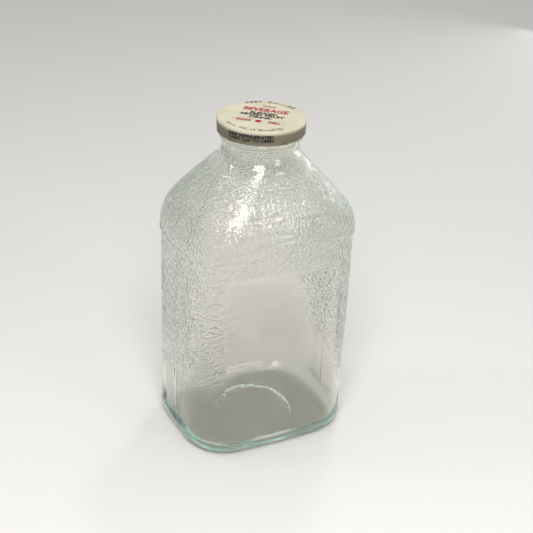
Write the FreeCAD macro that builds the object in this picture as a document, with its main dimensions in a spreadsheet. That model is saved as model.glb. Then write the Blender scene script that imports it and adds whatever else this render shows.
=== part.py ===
import FreeCAD, Part
import math
import os
import re
import Sketcher

# Half-gallon refrigerator bottle of clear moulded glass with a steel twist-off cap.
# Frame: origin at the middle of the base, +Z up the neck, the wide front face towards -Y.
# Three loose pieces: the glass bottle, the steel cap shell and the sealing ring in the cap.

DIMENSIONS = [
    # glass body, outside
    ("body_width", 125.0, "across the narrow sides, below the shoulder ledge"),
    ("body_depth", 101.4, "across the wide faces, below the shoulder ledge"),
    ("ledge_step", 0.5, "how far the shoulder stands proud of the body all round"),
    ("corner_radius", 33.0, "upright corners of the body"),
    ("face_radius", 650.0, "gentle bow of the wide faces"),
    ("side_radius", 1500.0, "gentle bow of the narrow sides"),
    ("heel_radius", 13.0, "rounding between the walls and the base"),
    ("ledge_height", 158.3, "height of the ledge where the shoulder starts"),
    ("neck_height", 210.3, "height where the shoulder meets the neck"),
    ("shoulder_round_x", 33.0, "round at the foot of the shoulder, seen from the front"),
    ("shoulder_round_y", 55.0, "round at the foot of the shoulder, seen from the side"),
    ("neck_base_radius", 28.8, "half-width of the shoulder where it meets the neck"),
    ("neck_base_corner", 27.6, "corner radius of the shoulder there: nearly round"),
    # glass, inside
    ("wall", 2.8, "wall thickness of the body"),
    ("shoulder_wall", 3.5, "horizontal wall thickness of the sloping shoulder"),
    ("floor_thickness", 5.2, "thickness of the base"),
    ("inner_heel_radius", 9.0, "rounding inside, between walls and base"),
    ("pushup_radius", 29.8, "circular recess under the base"),
    ("pushup_depth", 0.8, "depth of that recess"),
    # glass finish: the neck, bead, thread and mouth
    ("bore_radius", 23.3, "clear hole of the mouth and neck"),
    ("neck_radius", 26.3, "outside of the neck and of the wall behind the thread"),
    ("neck_flare_radius", 15.0, "hollow curve from neck to shoulder"),
    ("neck_flare_reach", 3.0, "how far that curve stands out from the neck at its foot"),
    ("bead_height", 224.4, "middle of the bead under the cap"),
    ("bead_radius", 28.2, "crest of the bead"),
    ("rim_height", 235.2, "top of the mouth, where the cap seals"),
    ("rim_round", 0.9, "rounding of the mouth's edges"),
    # thread and lugs
    ("lead", 12.7, "rise of the cap in one turn"),
    ("rib_radius", 27.5, "crest of the thread ribs"),
    ("rib_thickness", 1.3, "height of a thread rib at its root"),
    ("rib_draft", 0.25, "taper of the rib's upper and lower faces"),
    ("rib_foot", 228.7, "underside of a rib at its lower end"),
    ("rib_turns", 0.27, "length of a rib, in turns"),
    ("lug_inner_radius", 26.75, "inner edge of the cap's lugs"),
    ("lug_thickness", 0.8, "height of a lug"),
    ("lug_foot", 227.7, "underside of a lug at its lower end"),
    ("lug_turns", 0.045, "length of a lug, in turns"),
    ("lug_angle", 8.0, "degrees from a rib's lower end to the lug under it"),
    # steel cap shell
    ("cap_top", 236.6, "top of the cap's raised edge"),
    ("cap_radius", 30.2, "outside of the cap at its top"),
    ("cap_foot_radius", 29.2, "outside of the skirt above its curled edge"),
    ("cap_corner", 1.3, "rounding between top and skirt"),
    ("cap_foot", 226.9, "lower edge of the skirt"),
    ("curl_radius", 0.6, "half thickness of the edge curled inwards"),
    ("sheet", 0.25, "thickness of the tinplate"),
    ("panel_radius", 23.4, "sunken middle of the cap's top"),
    ("panel_depth", 0.35, "how far the middle is sunken"),
    ("panel_slope", 0.7, "width of the slope round the sunken middle"),
    # sealing ring
    ("ring_inner_radius", 24.5, "inner edge of the sealing ring"),
    ("ring_outer_radius", 28.6, "outer edge of the sealing ring"),
    ("ring_thickness", 1.05, "thickness of the sealing ring"),
    ("seal_gap", 0.05, "clearance between the ring and the mouth"),
]

THREAD_STARTS = 4
SHOULDER_STATIONS = 6
OUTPUT_FOLDER = "parts"

doc = FreeCAD.newDocument("bottle")
sheet = doc.addObject("Spreadsheet::Sheet", "Sizes")
for row, (alias, value, note) in enumerate(DIMENSIONS, start=1):
    sheet.set("A%d" % row, alias)
    sheet.set("B%d" % row, str(value))
    sheet.set("C%d" % row, note)
    sheet.setAlias("B%d" % row, alias)
doc.recompute()

ALIAS_PATTERN = re.compile(r"\b(%s)\b" % "|".join(alias for alias, _, _ in DIMENSIONS))


def cells(expression):
    """The expression with every alias written as a cell of the sheet."""
    return ALIAS_PATTERN.sub(r"Sizes.\1", expression)


def value_of(expression):
    """The number that an expression stands for."""
    return float(sheet.evalExpression(cells(expression)))


def add_body(label):
    body = doc.addObject("PartDesign::Body", label)
    body.Label = label
    body.Placement = FreeCAD.Placement()
    return body


def origin_feature(body, role):
    for feature in body.Origin.OriginFeatures:
        if feature.Role == role:
            return feature
    raise ValueError("no origin feature " + role)


def add_sketch(body, name, role, height="0", turned="0"):
    """An empty sketch on one of the body's own origin planes.

    height raises a flat sketch; turned swings an upright one about Z, in degrees."""
    sketch = body.newObject("Sketcher::SketchObject", name)
    sketch.AttachmentSupport = [(origin_feature(body, role), "")]
    sketch.MapMode = "FlatFace"
    if height != "0":
        sketch.setExpression(".AttachmentOffset.Base.z", cells(height))
    if turned != "0":
        upright = FreeCAD.Vector(0, 1, 0)
        sketch.AttachmentOffset = FreeCAD.Placement(FreeCAD.Vector(), FreeCAD.Rotation(upright, 1))
        sketch.setExpression(".AttachmentOffset.Rotation.Angle", cells(turned))
    return sketch


def bind(sketch, kind, arguments, expression):
    """Add a dimension to a sketch and drive it by an expression."""
    index = sketch.addConstraint(Sketcher.Constraint(kind, *arguments, value_of(expression)))
    sketch.setExpression("Constraints[%d]" % index, cells(expression))


def bowed_outline(body, name, height, half_width, half_depth, corner):
    """A rounded rectangle of eight tangent arcs: four faces with a slight bow and four corners.

    The starting arcs are worked out so that they already meet; the constraints then hold them."""
    width, depth, radius = value_of(half_width), value_of(half_depth), value_of(corner)
    side, face = value_of("side_radius"), value_of("face_radius")
    centre_x, centre_y = width - radius, depth - radius
    for _ in range(30):
        centre_x = width - side + math.sqrt((side - radius) ** 2 - centre_y ** 2)
        centre_y = depth - face + math.sqrt((face - radius) ** 2 - centre_x ** 2)
    at_side = math.atan2(centre_y, centre_x - (width - side))
    at_face = math.atan2(centre_y - (depth - face), centre_x)

    sketch = add_sketch(body, name, "XY_Plane", height)

    def arc(x, y, arc_radius, start, end):
        circle = Part.Circle(FreeCAD.Vector(x, y, 0), FreeCAD.Vector(0, 0, 1), arc_radius)
        sketch.addGeometry(Part.ArcOfCircle(circle, start, end), False)

    turn = math.pi
    arc(width - side, 0, side, -at_side, at_side)
    arc(centre_x, centre_y, radius, at_side, at_face)
    arc(0, depth - face, face, at_face, turn - at_face)
    arc(-centre_x, centre_y, radius, turn - at_face, turn - at_side)
    arc(side - width, 0, side, turn - at_side, turn + at_side)
    arc(-centre_x, -centre_y, radius, turn + at_side, turn + at_face)
    arc(0, face - depth, face, turn + at_face, 2 * turn - at_face)
    arc(centre_x, -centre_y, radius, 2 * turn - at_face, 2 * turn - at_side)
    for index in range(8):
        sketch.addConstraint(Sketcher.Constraint("Tangent", index, 2, (index + 1) % 8, 1))
    for first, second in ((1, 3), (1, 5), (1, 7), (0, 4), (2, 6)):
        sketch.addConstraint(Sketcher.Constraint("Equal", first, second))
    for index, axis in ((0, -1), (4, -1), (2, -2), (6, -2)):
        sketch.addConstraint(Sketcher.Constraint("PointOnObject", index, 3, axis))
    bind(sketch, "Radius", (0,), "side_radius")
    bind(sketch, "Radius", (2,), "face_radius")
    bind(sketch, "Radius", (1,), corner)
    bind(sketch, "DistanceX", (0, 3, -1, 1), "side_radius - (%s)" % half_width)
    bind(sketch, "DistanceX", (-1, 1, 4, 3), "side_radius - (%s)" % half_width)
    bind(sketch, "DistanceY", (2, 3, -1, 1), "face_radius - (%s)" % half_depth)
    bind(sketch, "DistanceY", (-1, 1, 6, 3), "face_radius - (%s)" % half_depth)
    return sketch


def profile(body, name, points, arcs=None, turned="0"):
    """A closed outline in the XZ plane, of (radius, height) expressions, to be turned about Z.

    arcs maps the number of a side to (radius, sign): the side is then an arc of that radius,
    which swells to the left of its direction for +1 and to the right for -1."""
    arcs = arcs or {}
    sketch = add_sketch(body, name, "XZ_Plane", turned=turned)
    spots = [FreeCAD.Vector(value_of(r), value_of(z), 0) for r, z in points]
    count = len(points)
    for index in range(count):
        start, end = spots[index], spots[(index + 1) % count]
        if index in arcs:
            radius, sign = value_of(arcs[index][0]), arcs[index][1]
            chord = end - start
            left = FreeCAD.Vector(-chord.y, chord.x, 0).normalize()
            swell = radius - math.sqrt(radius ** 2 - (chord.Length / 2) ** 2)
            middle = (start + end) * 0.5 + left * (sign * swell)
            sketch.addGeometry(Part.Arc(start, middle, end), False)
        else:
            sketch.addGeometry(Part.LineSegment(start, end), False)

    def end_at(index, spot):
        """Which end of a side lies at a spot: 1 its start, 2 its end."""
        start = sketch.getPoint(index, 1)
        return 1 if start.distanceToPoint(spot) < 1e-6 else 2

    for index in range(count):
        following = (index + 1) % count
        here, there = end_at(index, spots[following]), end_at(following, spots[following])
        sketch.addConstraint(Sketcher.Constraint("Coincident", index, here, following, there))
    for index in range(count):
        end = end_at(index, spots[index])
        radius, height = points[index]
        for kind, axis, expression in (("DistanceX", -2, radius), ("DistanceY", -1, height)):
            if abs(value_of(expression)) < 1e-9:
                sketch.addConstraint(Sketcher.Constraint("PointOnObject", index, end, axis))
            else:
                bind(sketch, kind, (-1, 1, index, end), expression)
    for index in arcs:
        bind(sketch, "Radius", (index,), arcs[index][0])
    return sketch


def turn_profile(body, kind, name, sketch):
    """A full turn of a sketch about Z: kind is Revolution to add or Groove to cut."""
    feature = body.newObject("PartDesign::" + kind, name)
    feature.Profile = sketch
    feature.ReferenceAxis = (sketch, ["V_Axis"])
    feature.Angle = 360
    doc.recompute()
    return feature


def helix(body, name, sketch, turns):
    """A sketch carried up the thread's helix: it rises counter-clockwise seen from above."""
    feature = body.newObject("PartDesign::AdditiveHelix", name)
    feature.Profile = sketch
    feature.ReferenceAxis = (sketch, ["V_Axis"])
    feature.Mode = "pitch-turns-angle"
    feature.setExpression("Pitch", cells("lead"))
    feature.setExpression("Turns", cells(turns))
    doc.recompute()
    return feature


def around(body, name, feature):
    """Repeat a feature once for each start of the thread."""
    pattern = body.newObject("PartDesign::PolarPattern", name)
    pattern.Originals = [feature]
    pattern.Axis = (origin_feature(body, "Z_Axis"), [""])
    pattern.Angle = 360
    pattern.Occurrences = THREAD_STARTS
    body.Tip = pattern
    doc.recompute()
    return pattern


def edges_at(feature, height):
    """Names of the edges of a feature that lie wholly at one height."""
    names = []
    for number, edge in enumerate(feature.Shape.Edges, start=1):
        box = edge.BoundBox
        if abs(box.ZMin - height) < 1e-3 and abs(box.ZMax - height) < 1e-3:
            names.append("Edge%d" % number)
    return names


def round_edges(body, name, feature, height, radius):
    fillet = body.newObject("PartDesign::Fillet", name)
    fillet.Base = (feature, edges_at(feature, value_of(height)))
    fillet.setExpression("Radius", cells(radius))
    doc.recompute()
    return fillet


def require_less(before, after, what):
    """Stop if a cut took nothing away."""
    if not after.Shape.Volume < before - 1:
        raise RuntimeError(what + " cut nothing")


def shoulder_half(half_size, roundness, rise):
    """Half-width or half-depth of the shoulder at a rise above the ledge.

    The side of the shoulder is an arc that starts upright at the ledge, and then the straight
    slope that touches the arc and ends at the neck."""
    inward = "(neck_base_radius - %s + %s)" % (half_size, roundness)
    height = "(neck_height - ledge_height)"
    reach = "sqrt(pow(%s; 2) + pow(%s; 2))" % (inward, height)
    lean = "(atan2(%s; %s) - acos(%s / %s))" % (height, inward, roundness, reach)
    arc = "sqrt(pow(%s; 2) - pow(min(%s; 0.99 * %s); 2))" % (roundness, rise, roundness)
    slope = "(%s - %s * sin(%s)) / cos(%s)" % (roundness, rise, lean, lean)
    blend = "(%s < %s * sin(%s) ? %s : %s)" % (rise, roundness, lean, arc, slope)
    return "%s - %s + %s" % (half_size, roundness, blend)


def shoulder_stations(body, name, inset_low, inset_high):
    """Outlines up the shoulder from the ledge to the neck, drawn in by an inset that changes."""
    sketches = []
    for station in range(SHOULDER_STATIONS):
        part = "%d / %d" % (station, SHOULDER_STATIONS - 1)
        rise = "(%s * (neck_height - ledge_height))" % part
        inset = "(%s + (%s - %s) * %s)" % (inset_low, inset_high, inset_low, part)
        half_width = shoulder_half("(body_width / 2 + ledge_step)", "shoulder_round_x", rise)
        half_depth = shoulder_half("(body_depth / 2 + ledge_step)", "shoulder_round_y", rise)
        corner = "corner_radius + (neck_base_corner - corner_radius) * %s" % part
        sketches.append(bowed_outline(
            body, "%s%d" % (name, station), "ledge_height + %s" % rise,
            "%s - %s" % (half_width, inset), "%s - %s" % (half_depth, inset),
            "%s - %s" % (corner, inset)))
    return sketches


def loft(body, kind, name, sketches):
    feature = body.newObject("PartDesign::" + kind, name)
    feature.Profile = sketches[0]
    feature.Sections = sketches[1:]
    doc.recompute()
    return feature


def make_bottle():
    body = add_body("glass_bottle")

    # The walls stand on the base, rounded at the heel.
    outline = bowed_outline(body, "BodyOutline", "0", "body_width / 2", "body_depth / 2",
                            "corner_radius")
    walls = body.newObject("PartDesign::Pad", "Walls")
    walls.Profile = outline
    walls.setExpression("Length", cells("ledge_height"))
    doc.recompute()
    round_edges(body, "Heel", walls, "0", "heel_radius")

    # The shoulder starts at the ledge, a little proud of the walls, and runs in to the neck.
    loft(body, "AdditiveLoft", "Shoulder", shoulder_stations(body, "ShoulderOutline", "0", "0"))

    # The neck flares out of the shoulder, carries the bead and ends in the rounded mouth.
    flare_foot = "neck_radius + neck_flare_reach"
    flare_rise = "sqrt(2 * neck_flare_radius * neck_flare_reach - pow(neck_flare_reach; 2))"
    bead_size = "(bead_radius - neck_radius)"
    neck = profile(body, "NeckOutline", [
        ("0", "neck_height"),
        (flare_foot, "neck_height"),
        ("neck_radius", "neck_height + " + flare_rise),
        ("neck_radius", "bead_height - " + bead_size),
        ("bead_radius", "bead_height"),
        ("neck_radius", "bead_height + " + bead_size),
        ("neck_radius", "rim_height - rim_round"),
        ("neck_radius - rim_round", "rim_height"),
        ("0", "rim_height"),
    ], {1: ("neck_flare_radius", 1), 3: (bead_size, -1), 4: (bead_size, -1),
        6: ("rim_round", -1)})
    turn_profile(body, "Revolution", "Neck", neck)

    # Four thread ribs, each a short piece of helix, flat underneath where a lug bears on it.
    rib = profile(body, "RibOutline", [
        ("neck_radius - rib_draft", "rib_foot - rib_draft"),
        ("rib_radius", "rib_foot"),
        ("rib_radius", "rib_foot + rib_thickness - 2 * rib_draft"),
        ("neck_radius - rib_draft", "rib_foot + rib_thickness"),
    ])
    ribs = around(body, "Ribs", helix(body, "Rib", rib, "rib_turns"))

    # The inside follows the outside at the thickness of the wall.
    volume = ribs.Shape.Volume
    inside = bowed_outline(body, "CavityOutline", "floor_thickness", "body_width / 2 - wall",
                           "body_depth / 2 - wall", "corner_radius - wall")
    cavity = body.newObject("PartDesign::Pocket", "Cavity")
    cavity.Profile = inside
    cavity.Reversed = True
    cavity.setExpression("Length", cells("ledge_height - floor_thickness"))
    doc.recompute()
    require_less(volume, cavity, "Cavity")
    volume = cavity.Shape.Volume
    hollow = loft(body, "SubtractiveLoft", "ShoulderCavity",
                  shoulder_stations(body, "HollowOutline", "(wall + ledge_step)",
                                    "shoulder_wall"))
    require_less(volume, hollow, "ShoulderCavity")
    volume = hollow.Shape.Volume
    bore = profile(body, "BoreOutline", [
        ("0", "neck_height - rim_round"),
        ("bore_radius", "neck_height - rim_round"),
        ("bore_radius", "rim_height - rim_round"),
        ("bore_radius + rim_round", "rim_height"),
        ("bore_radius + rim_round", "rim_height + rim_round"),
        ("0", "rim_height + rim_round"),
    ], {2: ("rim_round", 1)})
    opened = turn_profile(body, "Groove", "Bore", bore)
    require_less(volume, opened, "Bore")

    # A shallow round recess under the base leaves the bearing surface round it.
    volume = opened.Shape.Volume
    recess_outline = profile(body, "PushUpOutline", [
        ("0", "0"), ("pushup_radius", "0"), ("pushup_radius - pushup_depth", "pushup_depth"),
        ("0", "pushup_depth")])
    recess = turn_profile(body, "Groove", "PushUp", recess_outline)
    require_less(volume, recess, "PushUp")
    round_edges(body, "InnerHeel", recess, "floor_thickness", "inner_heel_radius")
    return body


def make_cap_shell():
    body = add_body("cap_shell")
    taper = "(cap_radius - cap_foot_radius) * 3 * curl_radius / (cap_top - cap_foot)"
    shell = profile(body, "ShellOutline", [
        ("0", "cap_top - panel_depth"),
        ("panel_radius", "cap_top - panel_depth"),
        ("panel_radius + panel_slope", "cap_top"),
        ("cap_radius - cap_corner", "cap_top"),
        ("cap_radius", "cap_top - cap_corner"),
        ("cap_foot_radius", "cap_foot + curl_radius"),
        ("cap_foot_radius - curl_radius", "cap_foot"),
        ("cap_foot_radius - 2 * curl_radius", "cap_foot + curl_radius"),
        ("cap_foot_radius - curl_radius", "cap_foot + 2 * curl_radius"),
        ("cap_foot_radius - sheet + %s" % taper, "cap_foot + 3 * curl_radius"),
        ("cap_radius - sheet", "cap_top - cap_corner"),
        ("cap_radius - cap_corner", "cap_top - sheet"),
        ("panel_radius + panel_slope", "cap_top - sheet"),
        ("panel_radius", "cap_top - panel_depth - sheet"),
        ("0", "cap_top - panel_depth - sheet"),
    ], {3: ("cap_corner", 1), 5: ("curl_radius", 1), 6: ("curl_radius", 1),
        7: ("curl_radius", 1), 10: ("cap_corner - sheet", -1)})
    turn_profile(body, "Revolution", "Shell", shell)

    # Four lugs turned inwards from the curled edge, lying along the thread.
    lug = profile(body, "LugOutline", [
        ("lug_inner_radius", "lug_foot"),
        ("cap_foot_radius - sheet", "lug_foot"),
        ("cap_foot_radius - sheet", "lug_foot + lug_thickness"),
        ("lug_inner_radius", "lug_foot + lug_thickness"),
    ], turned="lug_angle")
    around(body, "Lugs", helix(body, "Lug", lug, "lug_turns"))
    return body


def make_sealing_ring():
    body = add_body("sealing_ring")
    foot = "rim_height + seal_gap"
    outline = profile(body, "RingOutline", [
        ("ring_inner_radius", foot),
        ("ring_outer_radius", foot),
        ("ring_outer_radius", foot + " + ring_thickness"),
        ("ring_inner_radius", foot + " + ring_thickness"),
    ])
    turn_profile(body, "Revolution", "Ring", outline)
    return body


pieces = [make_bottle(), make_cap_shell(), make_sealing_ring()]
doc.recompute()

for item in doc.Objects:
    if "Invalid" in item.State or "Error" in item.State:
        raise RuntimeError("%s did not compute: %s" % (item.Label, item.State))
for piece in pieces:
    shape = piece.Shape
    if shape.isNull() or not shape.isValid() or len(shape.Solids) != 1:
        raise RuntimeError(piece.Label + " has a bad shape")

os.makedirs(OUTPUT_FOLDER, exist_ok=True)
for piece in pieces:
    box = piece.Shape.BoundBox
    piece.Shape.exportStep("%s/%s.step" % (OUTPUT_FOLDER, piece.Label))
    print("%s: %.1f cm3, x %.2f to %.2f, y %.2f to %.2f, z %.2f to %.2f" % (
        piece.Label, piece.Shape.Volume / 1000, box.XMin, box.XMax, box.YMin, box.YMax,
        box.ZMin, box.ZMax))
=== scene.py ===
import math

import bpy
import numpy as np
from mathutils import Matrix, Vector
from mathutils.bvhtree import BVHTree


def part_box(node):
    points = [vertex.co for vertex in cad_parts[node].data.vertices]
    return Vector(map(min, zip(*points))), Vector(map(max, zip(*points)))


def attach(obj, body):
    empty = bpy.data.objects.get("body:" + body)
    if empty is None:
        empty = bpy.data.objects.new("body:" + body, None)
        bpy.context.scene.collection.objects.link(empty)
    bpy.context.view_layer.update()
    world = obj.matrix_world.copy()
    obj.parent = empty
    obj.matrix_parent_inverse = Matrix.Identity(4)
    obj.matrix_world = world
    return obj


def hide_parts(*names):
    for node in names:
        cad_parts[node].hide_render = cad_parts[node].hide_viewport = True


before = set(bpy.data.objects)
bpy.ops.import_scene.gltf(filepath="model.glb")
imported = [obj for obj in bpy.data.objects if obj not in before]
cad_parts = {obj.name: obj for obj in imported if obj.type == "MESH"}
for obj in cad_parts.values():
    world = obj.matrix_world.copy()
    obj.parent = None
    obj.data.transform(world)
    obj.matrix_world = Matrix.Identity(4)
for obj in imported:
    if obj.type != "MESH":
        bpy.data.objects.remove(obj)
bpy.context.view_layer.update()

# Lengths below are millimetres until a mesh is made; Blender gets metres.
MM = 0.001

# Sizes that come from the frame.
SHELL_LOW, SHELL_HIGH = (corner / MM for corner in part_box("cap_shell"))
GLASS_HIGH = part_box("glass_bottle")[1] / MM
RING_LOW, RING_HIGH = (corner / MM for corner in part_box("sealing_ring"))
HALF_WIDTH, HALF_DEPTH = GLASS_HIGH.x, GLASS_HIGH.y
RIM_HEIGHT = GLASS_HIGH.z
CAP_TOP, CAP_FOOT, CAP_RADIUS = SHELL_HIGH.z, SHELL_LOW.z, SHELL_HIGH.x

# Outside of the glass.
CORNER = 33.0
FACE_RADIUS, SIDE_RADIUS = 650.0, 1500.0
HEEL = 13.0
LEDGE_LOW, LEDGE_ARCH = 150.0, 16.0
LEDGE_STEP, LEDGE_BLEND = 1.0, 1.1
SHOULDER_FOOT, NECK_BASE = 158.3, 210.3
ROUND_X, ROUND_Y = 33.0, 55.0
NECK_BASE_RADIUS, NECK_BASE_CORNER = 28.8, 27.6
NECK_RADIUS, FLARE_RADIUS, FLARE_REACH = 26.3, 15.0, 3.0
BEAD_HEIGHT, BEAD_RADIUS = 224.4, 28.2
RIM_ROUND, BORE_RADIUS = 0.9, 23.3
PUSHUP_RADIUS, PUSHUP_DEPTH = 29.8, 0.8
# Inside of the glass.
WALL, SHOULDER_WALL, FLOOR, INNER_HEEL = 2.8, 3.5, 5.2, 9.0
# How much higher the floor is in its middle than at its edge.
INNER_RAISE = 0.6
# Thread.
STARTS, LEAD, RIB_FOOT, RIB_HEIGHT, RIB_CREST, RIB_SPAN = 4, 12.7, 228.7, 1.3, 27.5, 97.0

# Label panel sunk in each wide face: half its width, its top, its depth and its soft edge.
PANEL_HALF, PANEL_TOP, PANEL_SUNK, PANEL_EDGE = 45.0, 143.5, 0.35, 2.0
# Stipple: pebble size and height on the walls, then on the shoulder.
WALL_PEBBLE, WALL_PEBBLE_RISE = 2.5, 0.65
SHOULDER_PEBBLE, SHOULDER_PEBBLE_RISE = 1.9, 0.34
# How far the ledge's lip, the mould seams, the raised words and the slow unevenness of the outside
# and of the inside stand out.
LIP, SEAM, WORD_RISE, SLOW_WAVE, INNER_WAVE = 0.60, 0.35, 1.0, 0.10, 0.22
# Raised words: text, letter height, left and right end, foot, share of the full rise.
RAISED_WORDS = (("64 FL.OZ.", 9.5, -41.0, 1.0, 171.0, 1.0),
                ("(2 QTS.)", 8.5, 6.0, 40.0, 171.5, 0.7),
                ("ONE HALF GALLON", 7.0, -38.0, 38.0, 184.5, 0.8))
# How much wider than the font's own the strokes of the raised words are.
STROKE = 0.30

# Mesh of the glass: columns in a quarter of the front and of the back, and the height where each
# spacing of rows ends. The rows are closest where the raised words are.
FRONT_COLUMNS, BACK_COLUMNS = 112, 56
ROW_SPACINGS = ((146.0, 1.75), (170.0, 0.72), (195.0, 0.52), (206.0, 0.9))


def smooth(x):
    """0 below 0, 1 above 1 and an S between."""
    x = np.clip(x, 0.0, 1.0)
    return x * x * (3 - 2 * x)


# ---------------------------------------------------------------- outlines

def quadrant(half_width, half_depth, corner, share):
    """Points of a quarter of a bowed, rounded rectangle, from the X axis to the Y axis, by arc length."""
    centre_x, centre_y = half_width - corner, half_depth - corner
    for _ in range(30):
        centre_x = half_width - SIDE_RADIUS + math.sqrt((SIDE_RADIUS - corner) ** 2 - centre_y ** 2)
        centre_y = half_depth - FACE_RADIUS + math.sqrt((FACE_RADIUS - corner) ** 2 - centre_x ** 2)
    at_side = math.atan2(centre_y, centre_x - half_width + SIDE_RADIUS)
    at_face = math.atan2(centre_y - half_depth + FACE_RADIUS, centre_x)
    side_length = SIDE_RADIUS * at_side
    corner_length = corner * (at_face - at_side)
    face_length = FACE_RADIUS * (math.pi / 2 - at_face)
    along = share * (side_length + corner_length + face_length)
    on_side = along < side_length
    on_face = along > side_length + corner_length
    angle = np.where(on_side, along / SIDE_RADIUS,
                     np.where(on_face, at_face + (along - side_length - corner_length) / FACE_RADIUS,
                              at_side + (along - side_length) / corner))
    radius = np.where(on_side, SIDE_RADIUS, np.where(on_face, FACE_RADIUS, corner))
    from_x = np.where(on_side, half_width - SIDE_RADIUS, np.where(on_face, 0.0, centre_x))
    from_y = np.where(on_side, 0.0, np.where(on_face, half_depth - FACE_RADIUS, centre_y))
    return from_x + radius * np.cos(angle), from_y + radius * np.sin(angle)


def columns(front, back):
    """Where the upright columns of the mesh stand: signs of x and y, and the share of a quarter."""
    rising_back, rising_front = np.arange(back) / back, np.arange(front) / front
    share = np.concatenate([rising_back, 1 - rising_back, rising_front, 1 - rising_front])
    sign_x = np.concatenate([np.ones(back), -np.ones(back), -np.ones(front), np.ones(front)])
    sign_y = np.concatenate([np.ones(2 * back), -np.ones(2 * front)])
    return sign_x, sign_y, share


def circle_row(cols, radius, height):
    sign_x, sign_y, share = cols
    angle = share * math.pi / 2
    return np.stack([sign_x * radius * np.cos(angle), sign_y * radius * np.sin(angle),
                     np.full(len(share), height)], axis=1)


def outline_row(cols, half_width, half_depth, corner, height):
    sign_x, sign_y, share = cols
    x, y = quadrant(half_width, half_depth, corner, share)
    return np.stack([sign_x * x, sign_y * y, np.full(len(share), height)], axis=1)


def shoulder_half(half, roundness, rise):
    """Half-size of the shoulder: an arc that starts upright, then the slope that touches it."""
    inward, reach_up = NECK_BASE_RADIUS - half + roundness, NECK_BASE - SHOULDER_FOOT
    lean = math.atan2(reach_up, inward) - math.acos(roundness / math.hypot(inward, reach_up))
    if rise < roundness * math.sin(lean):
        return half - roundness + math.sqrt(roundness ** 2 - rise ** 2)
    return half - roundness + (roundness - rise * math.sin(lean)) / math.cos(lean)


def level(height, inset=0.0):
    """Half-width, half-depth and corner radius of the glass at a height, drawn in by inset."""
    rise = max(0.0, height - SHOULDER_FOOT)
    part = min(1.0, rise / (NECK_BASE - SHOULDER_FOOT))
    half_width = shoulder_half(HALF_WIDTH, ROUND_X, rise)
    half_depth = shoulder_half(HALF_DEPTH, ROUND_Y, rise)
    corner = CORNER + (NECK_BASE_CORNER - CORNER) * part
    corner = min(corner, half_width - 1.0, half_depth - 1.0)
    return half_width - inset, half_depth - inset, corner - inset


def flare(height):
    """Radius of the neck's hollow curve at a height."""
    top = NECK_BASE + math.sqrt(2 * FLARE_RADIUS * FLARE_REACH - FLARE_REACH ** 2)
    drop = np.clip(top - height, 0.0, FLARE_RADIUS)
    return NECK_RADIUS + FLARE_RADIUS - math.sqrt(FLARE_RADIUS ** 2 - drop ** 2)


# ---------------------------------------------------------------- rows of the glass

def spaced(start, end, step):
    """Heights from start up to but not including end, about step apart."""
    count = max(1, round(abs(end - start) / step))
    return list(np.linspace(start, end, count, endpoint=False))


def outer_rows(cols):
    """Rows of points from the middle of the base up the outside to the top of the mouth."""
    rows = []
    flat = (HALF_WIDTH - HEEL, HALF_DEPTH - HEEL, CORNER - HEEL)
    for radius in [2.0] + spaced(5.0, PUSHUP_RADIUS - 1.2, 3.5):
        rows.append(circle_row(cols, radius, PUSHUP_DEPTH))
    for radius, height in ((PUSHUP_RADIUS - 1.0, PUSHUP_DEPTH), (PUSHUP_RADIUS - 0.5, 0.4),
                           (PUSHUP_RADIUS, 0.0), (PUSHUP_RADIUS + 0.6, 0.0)):
        rows.append(circle_row(cols, radius, height))
    inner, outer = circle_row(cols, PUSHUP_RADIUS + 0.6, 0.0), outline_row(cols, *flat, 0.0)
    for part in (0.25, 0.5, 0.75):
        rows.append(inner * (1 - part) + outer * part)
    for angle in np.linspace(0, math.pi / 2, 11)[:-1]:
        out = HEEL * (1 - math.sin(angle))
        rows.append(outline_row(cols, HALF_WIDTH - out, HALF_DEPTH - out, CORNER - out,
                                HEEL * (1 - math.cos(angle))))
    start = HEEL
    for end, step in ROW_SPACINGS:
        for height in spaced(start, end, step):
            rows.append(outline_row(cols, *level(height), height))
        start = end
    round_from = 213.0
    for height in spaced(start, round_from, 0.75):
        part = smooth((height - start) / (round_from - start))
        rows.append(outline_row(cols, *level(height), height) * (1 - part)
                    + circle_row(cols, flare(height), height) * part)
    bead = BEAD_RADIUS - NECK_RADIUS
    for height in spaced(round_from, BEAD_HEIGHT - bead - 0.2, 1.0) + [BEAD_HEIGHT - bead - 0.2]:
        rows.append(circle_row(cols, flare(height), height))
    for angle in np.radians(np.linspace(-80, 80, 9)):
        rows.append(circle_row(cols, NECK_RADIUS + bead * math.cos(angle) ** 0.8,
                               BEAD_HEIGHT + bead * math.sin(angle)))
    for height in spaced(BEAD_HEIGHT + bead + 0.2, RIM_HEIGHT - RIM_ROUND, 0.3):
        rows.append(thread(circle_row(cols, NECK_RADIUS, height)))
    for angle in np.radians(np.linspace(0, 90, 5)):
        rows.append(circle_row(cols, NECK_RADIUS - RIM_ROUND + RIM_ROUND * math.cos(angle),
                               RIM_HEIGHT - RIM_ROUND + RIM_ROUND * math.sin(angle)))
    return rows


def thread(row):
    """Stand the thread ribs out from a round row of the neck."""
    angle = np.degrees(np.arctan2(row[:, 1], row[:, 0]))
    grow = np.zeros(len(row))
    for start in range(STARTS):
        along = (angle - start * 360 / STARTS) % 360
        foot = RIB_FOOT + LEAD * along / 360
        inside = np.minimum(row[:, 2] - foot + 0.2, foot + RIB_HEIGHT - row[:, 2]) / 0.45
        ends = smooth(along / 5) * smooth((RIB_SPAN - along) / 5)
        grow = np.maximum(grow, smooth(inside) * ends * (along < RIB_SPAN))
    scale = 1 + grow * (RIB_CREST - NECK_RADIUS) / NECK_RADIUS
    return row * np.stack([scale, scale, np.ones(len(row))], axis=1)


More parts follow.
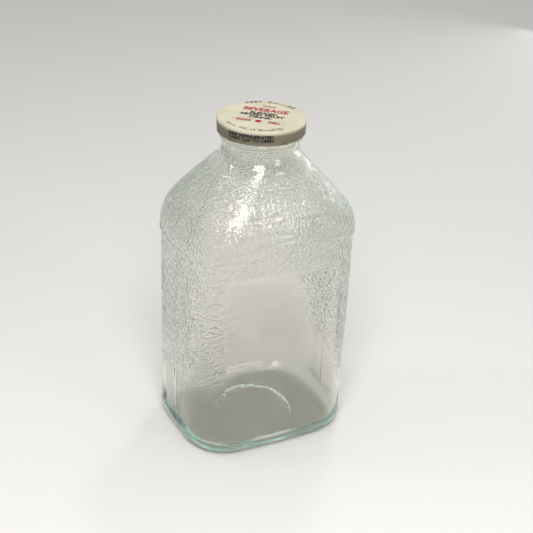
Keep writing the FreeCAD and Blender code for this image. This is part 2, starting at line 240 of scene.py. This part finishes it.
def inner_rows(cols):
    """Rows of points from the mouth down the inside to the middle of the floor."""
    rows = []
    for angle in np.radians(np.linspace(90, 0, 4)):
        rows.append(circle_row(cols, BORE_RADIUS + RIM_ROUND * (1 - math.cos(angle)),
                               RIM_HEIGHT - RIM_ROUND + RIM_ROUND * math.sin(angle)))
    for height in (230.0, 225.0, 220.0, 216.5):
        rows.append(circle_row(cols, BORE_RADIUS, height))
    for height in (214.0, 212.0, 210.0, 208.0, 206.0):
        part = smooth((height - 205.0) / 11.0)
        rows.append(outline_row(cols, *level(height, SHOULDER_WALL), height) * (1 - part)
                    + circle_row(cols, BORE_RADIUS, height) * part)
    inset = WALL + LEDGE_STEP
    for height in np.linspace(203.0, SHOULDER_FOOT, 16):
        part = (height - SHOULDER_FOOT) / (NECK_BASE - SHOULDER_FOOT)
        drawn_in = inset + (SHOULDER_WALL - inset) * part
        rows.append(outline_row(cols, *level(height, drawn_in), height))
    for height in np.linspace(152.0, FLOOR + INNER_HEEL, 20):
        rows.append(outline_row(cols, *level(height, inset), height))
    for angle in np.linspace(0, math.pi / 2, 9)[1:]:
        draw = inset + INNER_HEEL * (1 - math.cos(angle))
        rows.append(outline_row(cols, HALF_WIDTH - draw, HALF_DEPTH - draw, CORNER - draw,
                                FLOOR + INNER_HEEL * (1 - math.sin(angle))))
    last = rows[-1]
    ring_radius, ring_width, ring_rise = 27.0, 2.6, 0.35
    for part in (0.95, 0.9, 0.85, 0.8, 0.75, 0.7, 0.65, 0.6, 0.55, 0.5, 0.4, 0.3, 0.2, 0.08):
        row = last * part
        reach = np.hypot(row[:, 0], row[:, 1])
        ring = ring_rise * np.exp(-((reach - ring_radius) / ring_width) ** 2)
        row[:, 2] = FLOOR + INNER_RAISE * (1 - part) + ring
        rows.append(row)
    return rows


# ---------------------------------------------------------------- relief on the outside

def hashed(cell, salt):
    """A repeatable number from 0 to 1 for each whole-number cell."""
    mixed = cell[..., 0] * 127.1 + cell[..., 1] * 311.7 + cell[..., 2] * 74.7 + salt * 53.3
    return np.modf(np.abs(np.sin(mixed) * 43758.5453))[0]


def nearest_bump(points, size):
    """Distance from each point to the nearest of a scatter of bump centres, in bump sizes."""
    scaled = points / size
    cell = np.floor(scaled)
    best = np.full(len(points), 9.0)
    for dx in (-1, 0, 1):
        for dy in (-1, 0, 1):
            for dz in (-1, 0, 1):
                neighbour = cell + (dx, dy, dz)
                spot = neighbour + np.stack([hashed(neighbour, k) for k in (1, 2, 3)], axis=1)
                best = np.minimum(best, np.linalg.norm(scaled - spot, axis=1))
    return best


def wave(points, size, salt):
    """A slow smooth unevenness from -1 to 1."""
    rng = np.random.default_rng(salt)
    total = np.zeros(len(points))
    for _ in range(6):
        direction = rng.normal(size=3)
        total += np.sin(points @ direction / size * 2.2 + rng.uniform(0, 6.3))
    return total / 3.5


def grid_normals(grid):
    """Outward normals of a closed-round grid of rows."""
    around = np.roll(grid, -1, axis=1) - np.roll(grid, 1, axis=1)
    up = np.gradient(grid, axis=0)
    normal = np.cross(around, up)
    length = np.linalg.norm(normal, axis=2, keepdims=True)
    return normal / np.maximum(length, 1e-9)


def lettering(points, words, height, left, right, baseline):
    """How far each point of the front is inside the strokes of raised words, from 0 to 1."""
    corners, triangles = glyphs(words, height, bold=STROKE)
    middle, half = (left + right) / 2, (right - left) / 2
    corners[:, 0] *= 2 * half / np.ptp(corners[:, 0])
    corners[:, 0] -= (corners[:, 0].max() + corners[:, 0].min()) / 2
    tree = BVHTree.FromPolygons([Vector(c) for c in corners], triangles)
    near = np.where((points[:, 1] < 0) & (np.abs(points[:, 0] - middle) < half + 2)
                    & (np.abs(points[:, 2] - baseline - height / 2) < height / 2 + 2))[0]
    ring = [(0.45 * math.cos(k * math.pi / 3), 0.45 * math.sin(k * math.pi / 3)) for k in range(6)]
    result = np.zeros(len(points))
    for index in near:
        x, z = points[index, 0] - middle, points[index, 2] - baseline
        hits = sum(tree.ray_cast(Vector((x + dx, z + dz, 1)), Vector((0, 0, -1)))[0] is not None
                   for dx, dz in [(0.0, 0.0)] + ring)
        result[index] = hits / 7
    return result


def relief(points):
    """How far the outside of the glass stands out from its plain form, and how stippled it is."""
    x, y, z = points.T
    across, deep = x / HALF_WIDTH, y / HALF_DEPTH
    share_y = deep ** 2 / np.maximum(across ** 2 + deep ** 2, 1e-6)
    ledge = LEDGE_LOW + LEDGE_ARCH * share_y
    above_heel = smooth((z - 2.0) / HEEL)
    below = smooth((ledge - z) / LEDGE_BLEND + 0.5) * above_heel
    lip = np.exp(-((z - ledge - 1.2) / 1.3) ** 2)

    # The label panel of each wide face is smooth, and sunk a little towards its top.
    plain = (smooth((PANEL_HALF - np.abs(x)) / PANEL_EDGE) * smooth((PANEL_TOP - z) / PANEL_EDGE)
             * (share_y > 0.3))
    panel = plain * smooth((z - 40.0) / 90.0)
    stipple = (1 - plain) * smooth((z - 25.0) / 90.0) * smooth((207.0 - z) / 8.0)
    stipple = stipple * (1 - 0.9 * np.exp(-((z - ledge - 0.6) / 1.8) ** 2))
    on_shoulder = smooth((z - ledge) / 3.0)

    coarse = 1 - np.minimum(nearest_bump(points, WALL_PEBBLE), 1.0) ** 2
    fine = 1 - np.minimum(nearest_bump(points + 50.0, SHOULDER_PEBBLE), 1.0) ** 2
    bumps = coarse * WALL_PEBBLE_RISE * (1 - on_shoulder) + fine * SHOULDER_PEBBLE_RISE * on_shoulder

    words = np.zeros(len(points))
    for text, height, left, right, foot, share in RAISED_WORDS:
        words = np.maximum(words, share * lettering(points, text, height, left, right, foot))
    seam = np.exp(-(y / 0.8) ** 2) * (share_y < 0.3) * above_heel * smooth((222 - z) / 3)
    # The slow wave and the pebbles start from a surface a little under the plain form.
    under_neck = above_heel * smooth((212 - z) / 10)
    out = (-LEDGE_STEP * below - PANEL_SUNK * panel + LIP * lip * above_heel * (z < 180)
           + bumps * stipple * (1 - words) + WORD_RISE * words + SEAM * seam
           + (SLOW_WAVE * wave(points, 14.0, 5) - 0.25) * under_neck)
    # The fine grain is weaker round the raised words.
    legend = (y < 0) * smooth((46 - np.abs(x)) / 6) * smooth((z - 167) / 3) * smooth((196 - z) / 6)
    return out, stipple * (1 - smooth(words * 1.6)) * (1 - 0.6 * legend)


# ---------------------------------------------------------------- meshes

def new_object(name, points, faces, smooth_shading=True):
    mesh = bpy.data.meshes.new(name)
    mesh.from_pydata([tuple(p) for p in np.asarray(points) * MM], [], faces)
    mesh.update()
    if smooth_shading:
        mesh.polygons.foreach_set("use_smooth", np.ones(len(mesh.polygons), bool))
    piece = bpy.data.objects.new(name, mesh)
    bpy.context.scene.collection.objects.link(piece)
    return piece


def band_faces(first, second, count):
    """Quads between two closed rows that start at vertex first and second."""
    return [(first + i, first + (i + 1) % count, second + (i + 1) % count, second + i)
            for i in range(count)]


def make_glass():
    cols = columns(FRONT_COLUMNS, BACK_COLUMNS)
    count = len(cols[0])
    outside = np.array(outer_rows(cols))
    normals = grid_normals(outside)
    flat = outside.reshape(-1, 3)
    out, stipple = relief(flat)
    flat = flat + normals.reshape(-1, 3) * out[:, None]
    rows = len(outside)

    inner_cols = columns(FRONT_COLUMNS // 2, BACK_COLUMNS // 2)
    inner_count = len(inner_cols[0])
    inside = np.array(inner_rows(inner_cols))
    inner_normals = grid_normals(inside)
    uneven = wave(inside.reshape(-1, 3), 17.0, 9).reshape(inside.shape[:2])
    fade = smooth((214 - inside[..., 2]) / 12) * smooth((inside[..., 2] - FLOOR + 3) / 9)
    inside = inside + inner_normals * (uneven * fade * INNER_WAVE)[..., None]
    inner = inside.reshape(-1, 3)

    points = [flat, inner, [[0, 0, PUSHUP_DEPTH]], [[0, 0, FLOOR + INNER_RAISE]]]
    faces = []
    for row in range(rows - 1):
        faces += band_faces(row * count, (row + 1) * count, count)
    base, start = rows * count, (rows - 1) * count
    for i in range(inner_count):
        j = (i + 1) % inner_count
        a, b, c = start + 2 * i, start + 2 * i + 1, start + (2 * i + 2) % count
        faces += [(a, b, base + i), (b, c, base + j), (b, base + j, base + i)]
    for row in range(len(inside) - 1):
        faces += band_faces(base + row * inner_count, base + (row + 1) * inner_count, inner_count)
    under = base + len(inner)
    floor = under + 1
    faces += [((i + 1) % count, i, under) for i in range(count)]
    last = base + (len(inside) - 1) * inner_count
    faces += [(last + i, last + (i + 1) % inner_count, floor) for i in range(inner_count)]
    piece = new_object("bottle_glass", np.vstack(points), faces)
    mask = np.zeros(len(piece.data.vertices), np.float32)
    mask[:len(flat)] = stipple
    piece.data.attributes.new("stipple", "FLOAT", "POINT").data.foreach_set("value", mask)
    return piece


def lathe(outline, count, reshape=None):
    """Rows and quads of an outline of (radius, height) points turned about Z."""
    angle = np.arange(count) * 2 * math.pi / count
    rows = []
    for radius, height in outline:
        rows.append(np.stack([radius * np.cos(angle), radius * np.sin(angle),
                              np.full(count, height)], axis=1))
    rows = np.array(rows)
    if reshape is not None:
        rows = reshape(rows)
    faces = []
    for row in range(len(outline) - 1):
        faces += band_faces((row + 1) * count, row * count, count)
    return rows, faces


def arc_points(centre_r, centre_z, radius, start, end, steps):
    return [(centre_r + radius * math.cos(a), centre_z + radius * math.sin(a))
            for a in np.radians(np.linspace(start, end, steps))]


# ---------------------------------------------------------------- cap

PANEL_RADIUS, PANEL_DEPTH, PANEL_SLOPE = 23.4, 0.35, 0.7
CAP_CORNER, SHEET, CURL = 1.3, 0.25, 0.6
CAP_FOOT_RADIUS = 29.2
LUG_INNER, LUG_ANGLE, LUG_CENTRE = 26.75, 16.0, 12.0


def skirt_radius(height):
    """Outside of the tapering skirt at a height."""
    top, foot = CAP_TOP - CAP_CORNER, CAP_FOOT + CURL
    return CAP_RADIUS + (CAP_FOOT_RADIUS + 0.35 - CAP_RADIUS) * (top - height) / (top - foot)


def cap_outline():
    """The sheet of the cap: from the middle of the top, down the skirt, round the curl, back inside."""
    panel = CAP_TOP - PANEL_DEPTH
    line = [(0.02, panel), (8.0, panel), (16.0, panel), (22.0, panel), (PANEL_RADIUS - 0.25, panel)]
    line += [(PANEL_RADIUS, panel + 0.05), (PANEL_RADIUS + PANEL_SLOPE, CAP_TOP - 0.05),
             (PANEL_RADIUS + PANEL_SLOPE + 0.3, CAP_TOP), (27.0, CAP_TOP)]
    line += arc_points(CAP_RADIUS - CAP_CORNER, CAP_TOP - CAP_CORNER, CAP_CORNER, 90, 0, 8)
    curl_middle = CAP_FOOT + CURL
    for height in (233.0, 231.0, 229.5):
        line.append((skirt_radius(height), height))
    line.append((CAP_FOOT_RADIUS + 0.3, curl_middle + 0.75))
    line += arc_points(CAP_FOOT_RADIUS, curl_middle, CURL, 40, -200, 14)
    line += [(CAP_FOOT_RADIUS - 0.28, curl_middle + 0.7), (CAP_FOOT_RADIUS + 0.1, 229.5),
             (CAP_RADIUS - SHEET - 0.12, CAP_TOP - CAP_CORNER - 0.5)]
    line += arc_points(CAP_RADIUS - CAP_CORNER, CAP_TOP - CAP_CORNER, CAP_CORNER - SHEET, 0, 90, 6)
    line += [(PANEL_RADIUS + PANEL_SLOPE + 0.2, CAP_TOP - SHEET),
             (PANEL_RADIUS - 0.1, panel - SHEET), (12.0, panel - SHEET), (0.02, panel - SHEET)]
    return line


def bend_lugs(rows):
    """Draw the curl in at four places, where the lugs reach under the thread."""
    angle = np.degrees(np.arctan2(rows[..., 1], rows[..., 0]))
    radius = np.hypot(rows[..., 0], rows[..., 1])
    height = rows[..., 2]
    centre = (angle - LUG_CENTRE + 45.0) % 90.0 - 45.0
    width = smooth((LUG_ANGLE / 2 - np.abs(centre)) / 3.0 + 0.5)
    low = smooth((CAP_FOOT + 2 * CURL + 0.5 - height) / 0.8)
    inner = smooth((CAP_FOOT_RADIUS + 0.2 - radius) / 0.7)
    pulled = radius - (CAP_FOOT_RADIUS - CURL - LUG_INNER) * width * low * inner
    scale = pulled / np.maximum(radius, 1e-6)
    return rows * np.stack([scale, scale, np.ones_like(scale)], axis=-1)


def dent(rows):
    """A very slight unevenness of the sheet, so that its reflections aren't perfect."""
    flat = rows.reshape(-1, 3)
    push = wave(flat, 16.0, 21) * 0.05
    outward = flat * (1, 1, 0)
    outward = outward / np.maximum(np.linalg.norm(outward, axis=1, keepdims=True), 1e-6)
    on_skirt = smooth((CAP_TOP - 1.5 - flat[:, 2]) / 2.0)[:, None]
    return (flat + outward * push[:, None] * on_skirt).reshape(rows.shape)


def make_cap():
    count = 288
    rows, faces = lathe(cap_outline(), count, lambda sheet: dent(bend_lugs(sheet)))
    points = rows.reshape(-1, 3)
    last = len(points) - count
    faces.append(tuple(range(count)))
    faces.append(tuple(last + i for i in reversed(range(count))))
    return new_object("cap_sheet", points, faces)


def make_seal():
    """The ring of compound, with the groove that the mouth has pressed into it."""
    low, high = RING_LOW.z, RING_HIGH.z
    inner, outer = 24.5, RING_HIGH.x
    line = [(inner, high), (inner - 0.05, (low + high) / 2), (inner + 0.15, low + 0.1)]
    line.append((inner + 0.5, low + 0.02))
    line += [(inner + 0.8 + 0.4 * k, low + 0.12 * math.sin(k * math.pi / 5)) for k in range(6)]
    line += [(outer - 0.5, low + 0.02), (outer - 0.1, low + 0.15), (outer, (low + high) / 2),
             (outer, high)]
    count = 192
    rows, faces = lathe(line, count)
    faces += band_faces(0, (len(line) - 1) * count, count)
    return new_object("seal_compound", rows.reshape(-1, 3), faces)


# ---------------------------------------------------------------- print on the cap

PRINT_ANGLE = math.radians(-41.2)
INK_LIFT, SKIRT_INK_LIFT = 0.03, 0.06
# Height of a capital in the font, for a text size of 1.
CAPITAL = 0.682


def glyphs(words, size, bold=0.0, spacing=1.0):
    """Vertices and triangles of a line of text, centred across, its letters standing on y = 0."""
    curve = bpy.data.curves.new("print", "FONT")
    curve.body = words
    curve.size = size / CAPITAL
    curve.offset = bold
    curve.align_x = "CENTER"
    curve.space_character = spacing
    curve.resolution_u = 3
    holder = bpy.data.objects.new("print", curve)
    bpy.context.scene.collection.objects.link(holder)
    bpy.context.view_layer.update()
    mesh = holder.to_mesh()
    mesh.calc_loop_triangles()
    points = np.array([v.co for v in mesh.vertices])
    faces = [tuple(t.vertices) for t in mesh.loop_triangles]
    holder.to_mesh_clear()
    bpy.data.objects.remove(holder)
    return points, faces


def top_height(radius):
    """Height of the cap's top surface at a radius."""
    part = np.clip((radius - PANEL_RADIUS) / PANEL_SLOPE, 0, 1)
    edge = np.clip(radius - (CAP_RADIUS - CAP_CORNER), 0, CAP_CORNER)
    return CAP_TOP - PANEL_DEPTH * (1 - part) - CAP_CORNER + np.sqrt(CAP_CORNER ** 2 - edge ** 2)


def on_top(x, y):
    """Points of the print's own flat plan laid on the top of the cap."""
    turned_x = x * math.cos(PRINT_ANGLE) - y * math.sin(PRINT_ANGLE)
    turned_y = x * math.sin(PRINT_ANGLE) + y * math.cos(PRINT_ANGLE)
    return np.stack([turned_x, turned_y, top_height(np.hypot(x, y)) + INK_LIFT], axis=1)


def straight(words, size, y, width, bold):
    """A straight line of text that stands at y and is width across."""
    points, faces = glyphs(words, size, bold)
    x = points[:, 0] * width / np.ptp(points[:, 0])
    return on_top(x - (x.max() + x.min()) / 2, points[:, 1] + y), faces


def arched(words, size, radius, over, sweep, bold, spacing):
    """A line of text round the cap's rim: over the top, or below with its letters still upright."""
    points, faces = glyphs(words, size, bold, spacing)
    along = points[:, 0] / np.ptp(points[:, 0]) * math.radians(sweep)
    if over:
        angle, reach = math.pi / 2 - along, radius + points[:, 1]
    else:
        angle, reach = -math.pi / 2 + along, radius - points[:, 1]
    return on_top(reach * np.cos(angle), reach * np.sin(angle)), faces


def round_skirt(words, size, middle, height, sweep, bold):
    """A line of text round the skirt, its middle at an angle in degrees."""
    points, faces = glyphs(words, size, bold)
    angle = math.radians(middle) + points[:, 0] / np.ptp(points[:, 0]) * math.radians(sweep)
    z = height + points[:, 1]
    radius = skirt_radius(z) + SKIRT_INK_LIFT
    return np.stack([radius * np.cos(angle), radius * np.sin(angle), z], axis=1), faces


def ribbon(line, thickness):
    """A drawn outline of a set thickness: quads along a closed line of the print's plan."""
    line = np.array(line)
    along = np.roll(line, -1, axis=0) - np.roll(line, 1, axis=0)
    side = np.stack([-along[:, 1], along[:, 0]], axis=1)
    side /= np.linalg.norm(side, axis=1, keepdims=True)
    both = np.vstack([line + side * thickness / 2, line - side * thickness / 2])
    return on_top(both[:, 0], both[:, 1]), band_faces(0, len(line), len(line))


def stadium(half_length, radius, y):
    right = [(half_length + radius * math.cos(a), y + radius * math.sin(a))
             for a in np.linspace(-math.pi / 2, math.pi / 2, 12)]
    left = [(-half_length - radius * math.cos(a), y - radius * math.sin(a))
            for a in np.linspace(-math.pi / 2, math.pi / 2, 12)]
    return right + left


def disc(radius, x, y, corners=32):
    angle = np.arange(corners) * 2 * math.pi / corners
    rim = on_top(x + radius * np.cos(angle), y + radius * np.sin(angle))
    return rim, [tuple(range(corners))]


def printed(name, parts):
    points, faces, start = [], [], 0
    for part_points, part_faces in parts:
        points.append(part_points)
        faces += [tuple(start + i for i in face) for face in part_faces]
        start += len(part_points)
    return new_object(name, np.vstack(points), faces, smooth_shading=False)


def make_print():
    black = [arched("KEEP  CHILLED", 3.1, 26.0, True, 78, bold=0.28, spacing=1.35),
             arched("64 FL. OZ. (2 QUARTS)", 2.9, 26.9, False, 92, bold=0.14, spacing=1.2),
             straight("BLENDED", 3.0, 4.6, 19.0, bold=0.26),
             straight("MIXED FRUIT", 3.3, 0.5, 30.0, bold=0.28),
             straight("DRINK", 3.0, -3.6, 16.0, bold=0.26),
             ribbon(stadium(15.6, 2.0, -8.9), 0.16),
             round_skirt("KEEP REFRIGERATED", 2.0, -131.0, 232.2, 60, bold=0.18),
             round_skirt("TWIST CAP TO OPEN", 2.0, -131.5, 229.5, 62, bold=0.18)]
    red = [straight("BEVERAGE", 5.4, 9.6, 31.0, bold=0.30),
           straight("CITRUS", 1.9, 18.6, 9.5, bold=0.14),
           straight("SHAKE             WELL", 2.7, -10.2, 30.0, bold=0.26),
           disc(2.2, 0.0, -8.9)]
    return printed("print_black", black), printed("print_red", red)


# ---------------------------------------------------------------- materials

def start_material(name):
    material = bpy.data.materials.new(name)
    material.use_nodes = True
    nodes = material.node_tree.nodes
    return material, nodes, material.node_tree.links, nodes["Principled BSDF"]


def noise(nodes, links, scale, detail=3.0):
    """A noise texture in the object's own coordinates; scale is in features per metre."""
    node = nodes.new("ShaderNodeTexNoise")
    node.inputs["Scale"].default_value = scale
    node.inputs["Detail"].default_value = detail
    links.new(nodes.new("ShaderNodeTexCoord").outputs["Object"], node.inputs["Vector"])
    return node.outputs["Fac"]


def remap(nodes, links, value, low, high, to_low, to_high):
    node = nodes.new("ShaderNodeMapRange")
    node.inputs["From Min"].default_value = low
    node.inputs["From Max"].default_value = high
    node.inputs["To Min"].default_value = to_low
    node.inputs["To Max"].default_value = to_high
    links.new(value, node.inputs["Value"])
    return node.outputs["Result"]


def mix(nodes, links, share, first, second):
    """Colour between two colours; each is a colour or a socket."""
    node = nodes.new("ShaderNodeMix")
    node.data_type = "RGBA"
    links.new(share, node.inputs["Factor"])
    for socket, colour in ((node.inputs[6], first), (node.inputs[7], second)):
        if isinstance(colour, tuple):
            socket.default_value = (*colour, 1.0)
        else:
            links.new(colour, socket)
    return node.outputs[2]


def bump(nodes, links, height, distance, strength, shader):
    node = nodes.new("ShaderNodeBump")
    node.inputs["Distance"].default_value = distance
    if isinstance(strength, float):
        node.inputs["Strength"].default_value = strength
    else:
        links.new(strength, node.inputs["Strength"])
    links.new(height, node.inputs["Height"])
    links.new(node.outputs["Normal"], shader.inputs["Normal"])


def glass_material():
    """Soda-lime glass: clear, with a green cast where it is thick and fine grain where stippled."""
    material, nodes, links, shader = start_material("flint_glass")
    shader.inputs["Base Color"].default_value = (0.968, 0.953, 0.905, 1)
    shader.inputs["Transmission Weight"].default_value = 1.0
    shader.inputs["IOR"].default_value = 1.51
    haze = noise(nodes, links, 35.0)
    links.new(remap(nodes, links, haze, 0.35, 0.7, 0.01, 0.05), shader.inputs["Roughness"])
    stippled = nodes.new("ShaderNodeAttribute")
    stippled.attribute_name = "stipple"
    pebbles = nodes.new("ShaderNodeTexVoronoi")
    pebbles.feature = "SMOOTH_F1"
    pebbles.inputs["Scale"].default_value = 560.0
    pebbles.inputs["Smoothness"].default_value = 0.6
    links.new(nodes.new("ShaderNodeTexCoord").outputs["Object"], pebbles.inputs["Vector"])
    grain = remap(nodes, links, pebbles.outputs["Distance"], 0.0, 0.8, 1.0, 0.0)
    strength = remap(nodes, links, stippled.outputs["Fac"], 0.0, 1.0, 0.02, 1.0)
    bump(nodes, links, grain, 0.0009, strength, shader)
    absorb = nodes.new("ShaderNodeVolumeAbsorption")
    absorb.inputs["Color"].default_value = (0.36, 0.77, 0.66, 1)
    absorb.inputs["Density"].default_value = 7.5
    links.new(absorb.outputs["Volume"], nodes["Material Output"].inputs["Volume"])
    return material


def height_share(nodes, links, low, high):
    """0 at one height, 1 at another, along the object's own Z, in metres."""
    split = nodes.new("ShaderNodeSeparateXYZ")
    links.new(nodes.new("ShaderNodeTexCoord").outputs["Object"], split.inputs["Vector"])
    return remap(nodes, links, split.outputs["Z"], low, high, 0.0, 1.0)


def enamel_material():
    """Cream lithographed tinplate, with rust freckles at the curl; down the skirt the cream is painted
    darker and browner as painted shade.
    """
    material, nodes, links, shader = start_material("cream_enamel")
    cloudy = remap(nodes, links, noise(nodes, links, 60.0, 4.0), 0.35, 0.68, 0.0, 1.0)
    cream = mix(nodes, links, cloudy, (0.60, 0.565, 0.43), (0.53, 0.49, 0.36))
    up = height_share(nodes, links, 0.2335, 0.2358)
    # Painted shade: below the top's edge the skirt gets a dark brown in place of the cream, for the shade
    # the skirt stands in.
    skirt_painted_shade = mix(nodes, links, up, (0.16, 0.142, 0.098), cream)
    foot = remap(nodes, links, noise(nodes, links, 240.0, 5.0), 0.50, 0.66, 0.0, 1.0)
    near_curl = height_share(nodes, links, 0.2300, 0.2275)
    rust = nodes.new("ShaderNodeMath")
    rust.operation = "MULTIPLY"
    links.new(foot, rust.inputs[0])
    links.new(near_curl, rust.inputs[1])
    # Rust freckles at the curl, laid over the skirt's painted shade.
    rust_over_painted_shade = mix(nodes, links, rust.outputs["Value"], skirt_painted_shade, (0.13, 0.065, 0.03))
    links.new(rust_over_painted_shade, shader.inputs["Base Color"])
    shader.inputs["Specular IOR Level"].default_value = 0.35
    worn = noise(nodes, links, 90.0)
    links.new(remap(nodes, links, worn, 0.3, 0.7, 0.42, 0.56), shader.inputs["Roughness"])
    bump(nodes, links, noise(nodes, links, 400.0, 2.0), 0.00005, 0.25, shader)
    return material


def ink_material(name, colour, faded):
    """Matt printing ink, worn thin in small spots."""
    material, nodes, links, shader = start_material(name)
    wear = remap(nodes, links, noise(nodes, links, 700.0, 4.0), 0.55, 0.85, 0.0, 1.0)
    links.new(mix(nodes, links, wear, colour, faded), shader.inputs["Base Color"])
    shader.inputs["Specular IOR Level"].default_value = 0.12
    gloss = noise(nodes, links, 120.0)
    links.new(remap(nodes, links, gloss, 0.3, 0.7, 0.46, 0.60), shader.inputs["Roughness"])
    return material


def seal_material():
    """Pale grey-pink plastisol, slightly waxy."""
    material, nodes, links, shader = start_material("plastisol")
    cloudy = noise(nodes, links, 180.0)
    links.new(mix(nodes, links, cloudy, (0.62, 0.55, 0.48), (0.52, 0.46, 0.40)),
              shader.inputs["Base Color"])
    links.new(remap(nodes, links, noise(nodes, links, 300.0), 0.3, 0.7, 0.42, 0.6),
              shader.inputs["Roughness"])
    bump(nodes, links, noise(nodes, links, 600.0), 0.00008, 0.3, shader)
    return material


def floor_material():
    material, nodes, links, shader = start_material("floor")
    shader.inputs["Base Color"].default_value = (0.76, 0.75, 0.73, 1)
    shader.inputs["Roughness"].default_value = 0.9
    shader.inputs["Specular IOR Level"].default_value = 0.1
    return material


# ---------------------------------------------------------------- the object

def dress(piece, material, body, node=None):
    piece.data.materials.append(material)
    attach(piece, body)
    if node:
        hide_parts(node)


glass = make_glass()
cap = make_cap()
seal = make_seal()
black_print, red_print = make_print()
dress(glass, glass_material(), "bottle", "glass_bottle")
dress(cap, enamel_material(), "cap", "cap_shell")
dress(seal, seal_material(), "seal", "sealing_ring")
dress(black_print, ink_material("black_ink", (0.022, 0.020, 0.018), (0.10, 0.09, 0.07)), "cap")
dress(red_print, ink_material("red_ink", (0.36, 0.006, 0.018), (0.45, 0.05, 0.06)), "cap")


# ---------------------------------------------------------------- stage

# Soft lamps: where each stands, where it points, its width, height and power.
SOFTBOXES = {
    "right": ((0.95, 0.40, 0.28), (0, 0, 0.17), 0.75, 0.55, 1.0),
    "left": ((-0.80, 0.38, 0.96), (0, 0, 0.17), 0.10, 0.18, 0.9),
    "key": ((-0.32, -0.62, 0.85), (0, 0, 0.05), 0.45, 0.45, 8.0),
    "front": ((0.44, -1.00, 0.46), (0, 0, 0.17), 0.20, 0.45, 1.6),
    "above": ((0.45, 0.48, 1.10), (0, 0, 0.17), 0.14, 0.14, 1.6),
}
SKY_POWER, SKY_SPREAD, SKY_TRAVEL = 1.5, math.radians(140), (-0.25, -0.38, -0.89)
SURROUND = (0.10, 0.099, 0.096, 1)
# The floor lies just under the base, so that the two surfaces don't share a plane.
FLOOR_SIZE, FLOOR_DROP = 2.8, 0.0003


def softbox(name, place, aim, width, height, power):
    lamp = bpy.data.lights.new(name, "AREA")
    lamp.shape = "RECTANGLE"
    lamp.size, lamp.size_y = width, height
    lamp.energy = power
    holder = bpy.data.objects.new(name, lamp)
    bpy.context.scene.collection.objects.link(holder)
    holder.location = place
    holder.visible_camera = False
    towards = Vector(aim) - Vector(place)
    holder.rotation_euler = towards.to_track_quat("-Z", "Y").to_euler()


def make_stage():
    bpy.ops.mesh.primitive_plane_add(size=FLOOR_SIZE, location=(0, 0, -FLOOR_DROP))
    floor = bpy.context.object
    floor.name = "floor"
    floor.data.materials.append(floor_material())
    sky = bpy.data.lights.new("sky", "SUN")
    sky.energy, sky.angle = SKY_POWER, SKY_SPREAD
    sky_holder = bpy.data.objects.new("sky", sky)
    sky_holder.rotation_euler = Vector(SKY_TRAVEL).to_track_quat("-Z", "Y").to_euler()
    bpy.context.scene.collection.objects.link(sky_holder)
    for name, settings in SOFTBOXES.items():
        softbox(name, *settings)
    world = bpy.data.worlds.new("studio")
    world.use_nodes = True
    world.node_tree.nodes["Background"].inputs["Color"].default_value = SURROUND
    world.node_tree.nodes["Background"].inputs["Strength"].default_value = 1.0
    bpy.context.scene.world = world
    bpy.context.scene.view_settings.view_transform = "Standard"
    # Light is turned inside thick glass many times before it leaves.
    cycles = bpy.context.scene.cycles
    cycles.max_bounces, cycles.transmission_bounces, cycles.glossy_bounces = 32, 24, 24


# The camera looks at a point above the middle of the base. Angles are degrees, lengths metres,
# and the lens is millimetres.
AZIMUTH, ELEVATION, ROLL = -27.2412, 29.1458, -2.39
LOOK_AT_HEIGHT, DISTANCE = 0.10068, 0.85827
LENS, SENSOR = 80.63, 36.0
SHIFT_X, SHIFT_Y = 0.0230, 0.0531


def make_camera():
    azimuth, elevation, roll = (math.radians(angle) for angle in (AZIMUTH, ELEVATION, ROLL))
    back = Vector((math.sin(azimuth) * math.cos(elevation), -math.cos(azimuth) * math.cos(elevation),
                   math.sin(elevation)))
    right = Vector((math.cos(azimuth), math.sin(azimuth), 0))
    up = back.cross(right)
    turned_right = right * math.cos(roll) - up * math.sin(roll)
    turned_up = right * math.sin(roll) + up * math.cos(roll)
    lens = bpy.data.cameras.new("camera")
    lens.lens, lens.sensor_width = LENS, SENSOR
    lens.shift_x, lens.shift_y = SHIFT_X, SHIFT_Y
    camera = bpy.data.objects.new("camera", lens)
    bpy.context.scene.collection.objects.link(camera)
    facing = Matrix((turned_right, turned_up, back)).transposed().to_4x4()
    camera.matrix_world = Matrix.Translation(Vector((0, 0, LOOK_AT_HEIGHT)) + back * DISTANCE) @ facing
    bpy.context.scene.camera = camera


make_stage()
make_camera()
